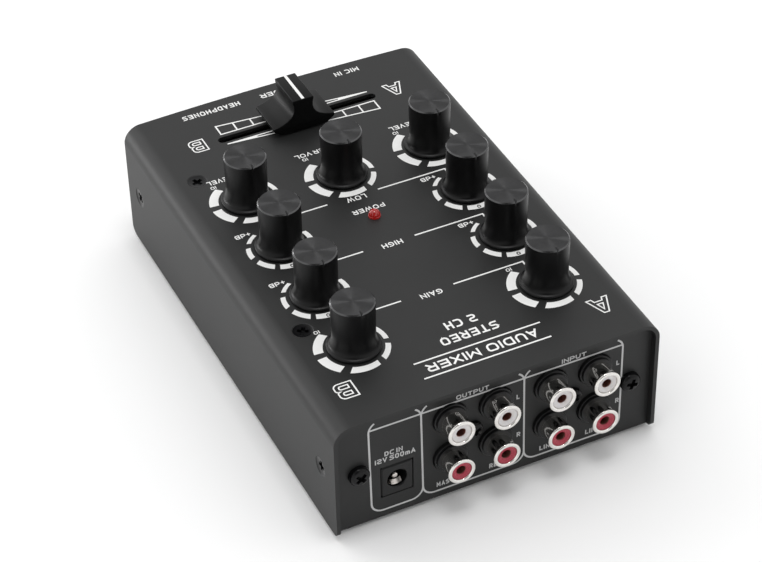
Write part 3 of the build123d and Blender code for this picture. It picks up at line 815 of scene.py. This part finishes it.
def add_fader_cap():
    centre = middle("fader_cap")
    bm = bmesh.new()
    ends = []
    for y in (-CAP_LONG / 2, CAP_LONG / 2):
        ends.append([bm.verts.new((x, y, z)) for x, z in cap_profile()])
    for end in ends:
        bm.faces.new(end)
    count = len(ends[0])
    for index in range(count):
        after = (index + 1) % count
        bm.faces.new((ends[0][index], ends[0][after], ends[1][after], ends[1][index]))
    bmesh.ops.recalc_face_normals(bm, faces=bm.faces)
    sharp = [edge for edge in bm.edges if edge.calc_face_angle(0) > CAP_SHARP]
    bmesh.ops.bevel(bm, geom=sharp, offset=CAP_EDGE, segments=3, profile=0.5, affect="EDGES")
    place = (centre.x, centre.y, TOP_Z)
    mesh = to_mesh("fader_knob", bm)
    add_piece("fader_knob", mesh, ["cap"], "crossfader", place, ["fader_cap"])
    line = bmesh.new()
    half = CAP_LINE_WIDE / 2
    length = CAP_LONG / 2 - CAP_EDGE
    brick(line, (-half, -length, CAP_TOP - CAP_LINE_DEEP), (half, length, CAP_TOP + INK_HIGH))
    bmesh.ops.bevel(line, geom=line.edges, offset=CAP_LINE_EDGE, segments=1, affect="EDGES")
    add_piece("fader_line", to_mesh("fader_line", line), ["line"], "crossfader", place)


# ---------------------------------------------------------------- phono sockets

SHELL_R = 4.15
SHELL_IN = 3.62
LIP_IN = 2.98
WAIST_R = 3.72
WAIST_END = 6.3
LIP_START = 6.9
LIP_ROUND = 0.48
LIP_ROLL = 0.42
LIP_LONG = 0.5
LIP_STEPS = 8
BARREL_START = 0.5
TIP_OUT = 7.6
INSERT_IN = 0.45
INSERT_R = 2.97
INSERT_EDGE = 0.12
FUNNEL_R = 2.05
FUNNEL_DEEP = 0.4
FUNNEL_ROUND = 0.25
FUNNEL_TURN = (90, 150)
FUNNEL_STEPS = 4
HOLE_R = 1.45
HOLE_EDGE = 0.1
HOLE_LONG = 0.15
INSERT_BORE = 2.0
SLEEVE_R = 1.98
SLEEVE_GAP = 0.01
SLEEVE_DEEP = 7.0
SLEEVE_BASE = 1.0
BLOCK_SUNK = 1.0
BLOCK_EDGE = 0.3
BOSSES = ((5.1, 1.0), (4.55, 1.8))
BOSS_BORE = 3.67
BOSS_START = -1.5
BOSS_EDGE = 0.15
BOSS_EDGE_STEPS = 3


def shell_mesh():
    """Plated barrel with a lip rolled in over the insert."""
    bm = bmesh.new()
    lip_end = TIP_OUT - INSERT_IN - LIP_LONG
    profile = [(SHELL_IN, BARREL_START), (WAIST_R, BARREL_START), (WAIST_R, WAIST_END), (SHELL_R, LIP_START)]
    profile += arc((SHELL_R - LIP_ROUND, TIP_OUT - LIP_ROUND), LIP_ROUND, 0, 90, LIP_STEPS)
    profile += arc((LIP_IN + LIP_ROLL, TIP_OUT - LIP_ROLL), LIP_ROLL, 90, 180, LIP_STEPS)
    profile += [(LIP_IN, lip_end), (SHELL_IN, lip_end)]
    lathe(bm, profile, closed=True, place=ALONG_Y)
    return to_mesh("phono_shell", bm)


def insert_mesh():
    """Coloured insert: rounded outer edge, funnel, then a straight hole that widens for the sleeve."""
    bm = bmesh.new()
    face = TIP_OUT - INSERT_IN
    hole = face - FUNNEL_DEEP
    profile = [(INSERT_R, BARREL_START), (INSERT_R, face - INSERT_EDGE), (INSERT_R - INSERT_EDGE, face)]
    profile += arc((FUNNEL_R + FUNNEL_ROUND, face - FUNNEL_ROUND), FUNNEL_ROUND, *FUNNEL_TURN, FUNNEL_STEPS)
    profile += [(HOLE_R + HOLE_EDGE, hole + HOLE_EDGE), (HOLE_R, hole), (HOLE_R, hole - HOLE_LONG)]
    profile += [(INSERT_BORE, hole - HOLE_LONG), (INSERT_BORE, BARREL_START)]
    lathe(bm, profile, closed=True, place=ALONG_Y)
    return to_mesh("phono_insert", bm)


def sleeve_mesh():
    """The sleeve that grips a plug's pin, closed at its inner end."""
    bm = bmesh.new()
    tip = TIP_OUT - INSERT_IN - FUNNEL_DEEP - HOLE_LONG - SLEEVE_GAP
    floor = tip - SLEEVE_DEEP
    profile = [(0, floor), (HOLE_R, floor), (HOLE_R, tip - HOLE_EDGE), (HOLE_R + HOLE_EDGE, tip)]
    profile += [(SLEEVE_R, tip), (SLEEVE_R, floor - SLEEVE_BASE), (0, floor - SLEEVE_BASE)]
    lathe(bm, profile, SMALL_STEPS, place=ALONG_Y)
    return to_mesh("phono_contact", bm)


def add_sockets():
    shell = shell_mesh()
    inserts = {"left": insert_mesh(), "right": insert_mesh()}
    sleeve = sleeve_mesh()
    for name in SOCKETS:
        centre = middle(f"shell_{name}")
        place = (centre.x, PANEL_Y, centre.z)
        row = name.rsplit("_", 1)[1]
        colour = {"left": "white", "right": "red"}[row]
        add_piece(f"barrel_{name}", shell, ["nickel"], "case", place, [f"shell_{name}"])
        add_piece(f"insert_{name}", inserts[row], [colour], "case", place, [f"insulator_{name}"])
        add_piece(f"sleeve_{name}", sleeve, ["bore"], "case", place, ["phono_contacts"])


def boss_profile():
    """The section of a stepped boss, each step rounded at its outer edge."""
    (base_r, base_out), (top_r, top_out) = BOSSES
    profile = [(BOSS_BORE, BOSS_START), (base_r, BOSS_START)]
    profile += arc((base_r - BOSS_EDGE, base_out - BOSS_EDGE), BOSS_EDGE, 0, 90, BOSS_EDGE_STEPS)
    profile += [(top_r, base_out)]
    profile += arc((top_r - BOSS_EDGE, top_out - BOSS_EDGE), BOSS_EDGE, 0, 90, BOSS_EDGE_STEPS)
    return profile + [(BOSS_BORE, top_out)]


def add_blocks():
    """The moulded blocks: a body behind the panel and a stepped boss round each socket."""
    for block in BLOCKS:
        name = f"{block}_moulding"
        low, high = corners(f"{block}_block")
        bm = bmesh.new()
        brick(bm, (low.x, low.y, low.z), (high.x, PANEL_Y - BLOCK_SUNK, high.z))
        bmesh.ops.bevel(bm, geom=bm.edges, offset=BLOCK_EDGE, segments=2, affect="EDGES")
        for socket in SOCKETS:
            if socket.startswith(block):
                centre = middle(f"shell_{socket}")
                place = Matrix.Translation((centre.x, PANEL_Y, centre.z)) @ ALONG_Y
                lathe(bm, boss_profile(), closed=True, place=place)
        add_piece(name, to_mesh(name, bm), ["moulding"], stands_for=[f"{block}_block"])


# ---------------------------------------------------------------- screws

PAN_R = 3.1
PAN_H = 2.3
SMALL_PAN_R = 2.8
SMALL_PAN_H = 1.9
PAN_ROUND = 0.55
PAN_SHOULDER_DROP = 0.15
PAN_SHOULDER_TURN = 78
PAN_FLAT = (0.3, 0.02)  # its share of the head's radius, and how far it lies below the head's middle
FLAT_R = 3.1
FLAT_H = 1.2
FLAT_RIM = ((0.22, -0.26), (0.3, -0.16), (0.9, -0.3))  # how far inside the head's radius, and height
FLAT_MIDDLE = -0.42
SHANK_R = 1.5
CROSS_LONG = 0.7
CROSS_THIN = 0.19
CROSS_TAPER = 0.6
CROSS_DEEP = 1.3
PANEL_SHANK = 5.0
BLOCK_SHANK = 8.0
TOP_SHANK = 7.2
SIDE_SHANK = 4.5

# How each group's recesses are turned, in radians: the first screw's, and the step to the next
PANEL_SPIN = (0.5, 1.0)
BLOCK_SPIN = (0.2, 1.0)
TOP_SPIN = (0.0, 0.6)
SIDE_SPIN = (0.3, 0.7)


def single_arm(head_r, top, turn):
    """One arm of the cross recess, shorter at its bottom."""
    bm = bmesh.new()
    low = (-head_r * CROSS_LONG, -head_r * CROSS_THIN, top - CROSS_DEEP)
    high = (head_r * CROSS_LONG, head_r * CROSS_THIN, top + CUT_PAST)
    for vertex in brick(bm, low, high):
        if vertex.co.z < top:
            vertex.co.x *= CROSS_TAPER
    bmesh.ops.rotate(bm, verts=bm.verts, matrix=Matrix.Rotation(turn, 3, "Z"))
    return to_mesh("arm", bm)


def crossed(name, bm, head_r, top):
    """A screw with the cross recess cut into its head."""
    mesh = to_mesh(name, bm)
    for turn in (math.pi / 4, -math.pi / 4):
        mesh = combine(name, mesh, single_arm(head_r, top, turn))
    return mesh


def pan_screw(name, head_r, head_h, shank):
    """A pan head: straight rim, round shoulder, slightly domed top."""
    bm = bmesh.new()
    shank_r = SHANK_R * head_r / PAN_R
    round_r = head_h * PAN_ROUND
    shoulder_z = head_h - PAN_SHOULDER_DROP - round_r
    flat_share, flat_drop = PAN_FLAT
    profile = [(0, -shank), (shank_r, -shank), (shank_r, 0), (head_r, 0)]
    profile += arc((head_r - round_r, shoulder_z), round_r, 0, PAN_SHOULDER_TURN, CORNER_STEPS)
    profile += [(head_r * flat_share, head_h - flat_drop), (0, head_h)]
    lathe(bm, profile, SMALL_STEPS)
    return crossed(name, bm, head_r, head_h)


def flat_screw(name, shank):
    """A countersunk head with a dished top, a hair below the surface it sits in."""
    bm = bmesh.new()
    profile = [(0, -shank), (SHANK_R, -shank), (SHANK_R, -FLAT_H)]
    profile += [(FLAT_R - inset, z) for inset, z in FLAT_RIM]
    lathe(bm, profile + [(0, FLAT_MIDDLE)], SMALL_STEPS)
    return crossed(name, bm, FLAT_R, 0)


def add_screw_group(kind, mesh, places, spins):
    """A group of like screws. Each place is a point and the turn that sends a head's +Z outwards."""
    first, step = spins
    for index, (at, outwards) in enumerate(places):
        turn = outwards @ Matrix.Rotation(first + step * index, 4, "Z")
        add_piece(f"{kind}_{index + 1}", mesh, ["screw"], "case", at, [f"{kind}s"], turn)


def add_screws():
    low, high = corners("panel_screws")
    z = (low.z + high.z) / 2
    places = [((x, PANEL_Y, z), ALONG_Y) for x in (low.x + PAN_R, high.x - PAN_R)]
    add_screw_group("panel_screw", pan_screw("panel_screw", PAN_R, PAN_H, PANEL_SHANK), places, PANEL_SPIN)
    centres = [middle(f"{block}_block") for block in reversed(BLOCKS)]
    places = [((centre.x, PANEL_Y, centre.z), ALONG_Y) for centre in centres]
    small = pan_screw("block_screw", SMALL_PAN_R, SMALL_PAN_H, BLOCK_SHANK)
    add_screw_group("block_screw", small, places, BLOCK_SPIN)
    low, high = corners("top_screws")
    rows = (low.y + FLAT_R, high.y - FLAT_R)
    places = [((x, y, TOP_Z), Matrix()) for x in (low.x + FLAT_R, high.x - FLAT_R) for y in rows]
    add_screw_group("top_screw", flat_screw("top_screw", TOP_SHANK), places, TOP_SPIN)
    low, high = corners("side_screws")
    z = (low.z + high.z) / 2
    places = []
    for side in (-1, 1):
        outwards = Matrix.Rotation(side * math.pi / 2, 4, "Y")
        places += [((side * COVER_HIGH.x, y, z), outwards) for y in (low.y + FLAT_R, high.y - FLAT_R)]
    add_screw_group("side_screw", flat_screw("side_screw", SIDE_SHANK), places, SIDE_SPIN)


# ---------------------------------------------------------------- inlet, lamp and nuts

DC_HOLE_R = 3.0
DC_EDGE = 0.3
DC_RIM = 0.25
DC_HOLE_DEEP = 9.0
DC_HOLE_STEPS = 64
DC_PIN_R = 1.0
DC_PIN_ROUND = 0.7
LEAF_R = 2.92
# The sprung contact's two long edges: how far their centre is above the hole's axis, and how deep they lie
LEAF_FRONT = (0.0, 1.0)
LEAF_BACK = (0.85, 2.1)
LEAF_THICK = 0.2
LEAF_ARC = (-126.0, -40.0)
LEAF_STEPS = 14
LAMP_R = 1.5
LAMP_COLLAR_R = 1.85
LAMP_COLLAR_H = 0.6
LAMP_EDGE = 0.1
LAMP_FLANGE_R = 1.9
LAMP_FLANGE_H = 1.0
LAMP_DOME_TURN = 85
LAMP_DOME_STEPS = 10


def add_inlet():
    """The DC inlet: a moulded body with its round hole, the pin and the sprung contact."""
    low, high = corners("dc_body")
    pin_low, pin_high = corners("dc_pin")
    axis = ((pin_low.x + pin_high.x) / 2, (pin_low.z + pin_high.z) / 2)
    body = bmesh.new()
    brick(body, low, high)
    bmesh.ops.bevel(body, geom=body.edges, offset=DC_EDGE, segments=3, affect="EDGES")
    hole = bmesh.new()
    place = Matrix.Translation((axis[0], high.y, axis[1])) @ ALONG_Y
    profile = [(0, -DC_HOLE_DEEP), (DC_HOLE_R, -DC_HOLE_DEEP), (DC_HOLE_R, -DC_RIM), (DC_HOLE_R + DC_RIM, 0)]
    profile += [(DC_HOLE_R + DC_RIM + CUT_PAST, CUT_PAST), (0, CUT_PAST)]
    lathe(hole, profile, DC_HOLE_STEPS, place=place)
    mesh = combine("inlet_body", to_mesh("inlet_body", body), to_mesh("inlet_hole", hole))
    add_piece("inlet_body", mesh, ["moulding"], stands_for=["dc_body"])
    pin = bmesh.new()
    length = pin_high.y - pin_low.y
    tip = arc((DC_PIN_R - DC_PIN_ROUND, length - DC_PIN_ROUND), DC_PIN_ROUND, 0, 90, CORNER_STEPS)
    lathe(pin, [(0, 0), (DC_PIN_R, 0), *tip, (0, length)], SMALL_STEPS, place=ALONG_Y)
    place = (axis[0], pin_low.y, axis[1])
    add_piece("inlet_pin", to_mesh("inlet_pin", pin), ["contact"], "case", place, ["dc_pin"])
    add_leaf(axis, high.y)


def add_leaf(axis, face):
    """The sprung contact: a curved strip on the low side of the inlet's hole, rising towards the pin."""
    bm = bmesh.new()
    rows = []
    long_edges = ((LEAF_FRONT, 0), (LEAF_BACK, 0), (LEAF_BACK, LEAF_THICK), (LEAF_FRONT, LEAF_THICK))
    for (rise, depth), thick in long_edges:
        path = arc((axis[0], axis[1] + rise), LEAF_R, *LEAF_ARC, LEAF_STEPS)
        rows.append([bm.verts.new((x, face - depth - thick, z)) for x, z in path])
    for step in range(LEAF_STEPS):
        for row, beside in zip(rows, rows[1:] + rows[:1]):
            bm.faces.new((row[step], beside[step], beside[step + 1], row[step + 1]))
    for end in (0, -1):
        bm.faces.new([row[end] for row in rows])
    mesh = to_mesh("inlet_leaf", bm)
    add_piece("inlet_leaf", mesh, ["contact"], stands_for=["dc_spring"])


def add_lamp():
    """The power light: a flange inside the case, a stem through the cover, a collar and a dome."""
    low, high = corners("power_light")
    bm = bmesh.new()
    dome_z = TOP_Z + LAMP_COLLAR_H
    flange_z = low.z + LAMP_FLANGE_H
    collar_z = TOP_Z + INK_HIGH
    profile = [(0, low.z), (LAMP_FLANGE_R, low.z), (LAMP_FLANGE_R, flange_z), (LAMP_R, flange_z)]
    profile += [(LAMP_R, collar_z), (LAMP_COLLAR_R, collar_z), (LAMP_COLLAR_R, dome_z - LAMP_EDGE)]
    for out, rise in arc((0, 0), 1.0, 0, LAMP_DOME_TURN, LAMP_DOME_STEPS):
        profile.append((out * (LAMP_COLLAR_R - LAMP_EDGE), dome_z + rise * (high.z - dome_z)))
    profile.append((0, high.z))
    lathe(bm, profile, SMALL_STEPS)
    centre = middle("power_light")
    place = (centre.x, centre.y, 0)
    add_piece("lamp_lens", to_mesh("lamp_lens", bm), ["lamp"], "case", place, ["power_light"])


NUT_R = 6.5
NUT_BORE = 4.5
NUT_CHAMFER = (0.5, 0.35)
NUT_CLEAR = 0.1
NUT_STEPS = 72


def nut_mesh(thick):
    """A six-sided nut with turned chamfers on its corners."""
    blank = bmesh.new()
    lathe(blank, [(0, 0), (NUT_R, 0), (NUT_R, thick), (0, thick)], 6)
    chamfer_in, chamfer_z = NUT_CHAMFER
    turned = bmesh.new()
    profile = [(0, 0), (NUT_R - chamfer_in, 0), (NUT_R + NUT_CLEAR, chamfer_z)]
    profile += [(NUT_R + NUT_CLEAR, thick - chamfer_z), (NUT_R - chamfer_in, thick), (0, thick)]
    lathe(turned, profile, NUT_STEPS)
    mesh = combine("jack_nut", to_mesh("blank", blank), to_mesh("turned", turned), "INTERSECT")
    bore = bmesh.new()
    bore_low, bore_high = -CUT_PAST, thick + CUT_PAST
    lathe(bore, [(0, bore_low), (NUT_BORE, bore_low), (NUT_BORE, bore_high), (0, bore_high)], NUT_STEPS)
    return combine("jack_nut", mesh, to_mesh("bore", bore))


def add_nuts():
    low, high = corners("jack_nuts")
    mesh = nut_mesh(high.y - low.y)
    outwards = Matrix.Rotation(math.pi / 2, 4, "X")
    for name, x in (("mic", low.x + NUT_R), ("phones", high.x - NUT_R)):
        place = (x, high.y, (low.z + high.z) / 2)
        add_piece(f"{name}_nut", mesh, ["nickel"], "case", place, ["jack_nuts"], outwards)


# ---------------------------------------------------------------- CAD nodes that stay

KEPT_NODES = {
    "coat": ("top_cover", "chassis", "corner_brackets", "rear_panel"),
    "rubber": ("rubber_feet",),
    "board": ("main_board", "socket_board"),
    "zinc": ("board_spacers", "fader_body", "fader_lever", "pot_bodies"),
    "moulding": ("light_spacer", "jacks"),
    "shaft": tuple(f"shaft_{name}" for name in KNOBS),
}


def dress_kept_nodes():
    for look, nodes in KEPT_NODES.items():
        for node in nodes:
            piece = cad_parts[node]
            piece.data.materials.clear()
            piece.data.materials.append(LOOKS[look])


# ---------------------------------------------------------------- floor and light

FLOOR_SIZE = 6000.0
FLOOR_BLOTCH = 400.0
FLOOR_DARK = (0.92, 0.92, 0.92)
FLOOR_LIGHT = (0.94, 0.94, 0.94)


def add_floor():
    bm = bmesh.new()
    half = FLOOR_SIZE / 2
    square = ((-half, -half), (half, -half), (half, half), (-half, half))
    bm.faces.new([bm.verts.new((x, y, 0)) for x, y in square])
    floor = bpy.data.objects.new("floor", to_mesh("floor", bm))
    bpy.context.scene.collection.objects.link(floor)
    look = Shader("floor", Roughness=0.9)
    look.colour_between(look.noise(FLOOR_BLOTCH).outputs["Fac"], FLOOR_DARK, FLOOR_LIGHT)
    floor.data.materials.append(look.material)


def add_light(name, place, target, size, power):
    """A soft box at a place in metres, facing a target."""
    data = bpy.data.lights.new(name, "AREA")
    data.shape = "RECTANGLE"
    data.size, data.size_y = size
    data.energy = power
    light = bpy.data.objects.new(name, data)
    bpy.context.scene.collection.objects.link(light)
    facing = (Vector(place) - Vector(target)).to_track_quat("Z", "Y").to_matrix().to_4x4()
    light.matrix_world = Matrix.Translation(place) @ facing


WORLD_LEVEL = 1.0
# The part of the room that the light doesn't fill: its direction, how far it spreads and how dim it gets
DIM_SIDE = (0.32, 0.69, 0.65)
DIM_SPREAD = (0.84, 0.97)
DIM_LEVEL = 0.12
# Soft boxes, in metres: name, place, target, size, watts
SOFT_BOXES = (
    ("key", (0.5, -1.1, 0.9), (0, 0, 0), (0.9, 0.7), 3.5),
    ("side", (0.5, -0.6, 0.07), (0.08, -0.16, 0.0), (0.5, 0.12), 1.6),
    ("over", (0.0, 0.1, 1.2), (0, 0, 0), (0.3, 0.3), 3.0),
)


def add_world():
    """White light all round, dim high up behind the object's rear side."""
    world = bpy.data.worlds.new("studio")
    world.use_nodes = True
    tree = world.node_tree
    background = tree.nodes["Background"]
    background.inputs["Color"].default_value = (1, 1, 1, 1)
    towards = tree.nodes.new("ShaderNodeVectorMath")
    towards.operation = "DOT_PRODUCT"
    towards.inputs[1].default_value = DIM_SIDE
    tree.links.new(tree.nodes.new("ShaderNodeTexCoord").outputs["Generated"], towards.inputs[0])
    level = tree.nodes.new("ShaderNodeMapRange")
    level.interpolation_type = "SMOOTHSTEP"
    level.inputs["From Min"].default_value, level.inputs["From Max"].default_value = DIM_SPREAD
    level.inputs["To Min"].default_value = WORLD_LEVEL
    level.inputs["To Max"].default_value = WORLD_LEVEL * DIM_LEVEL
    tree.links.new(towards.outputs["Value"], level.inputs["Value"])
    tree.links.new(level.outputs["Result"], background.inputs["Strength"])
    bpy.context.scene.world = world


def add_stage():
    add_floor()
    add_world()
    for soft_box in SOFT_BOXES:
        add_light(*soft_box)


bpy.context.scene.view_settings.view_transform = "Standard"
add_camera()
print_rings()
print_words()
print_rules()
print_channels()
print_fader_scale()
print_rear()
add_knobs()
add_fader_cap()
add_sockets()
add_blocks()
add_screws()
add_inlet()
add_lamp()
add_nuts()
dress_kept_nodes()
add_stage()
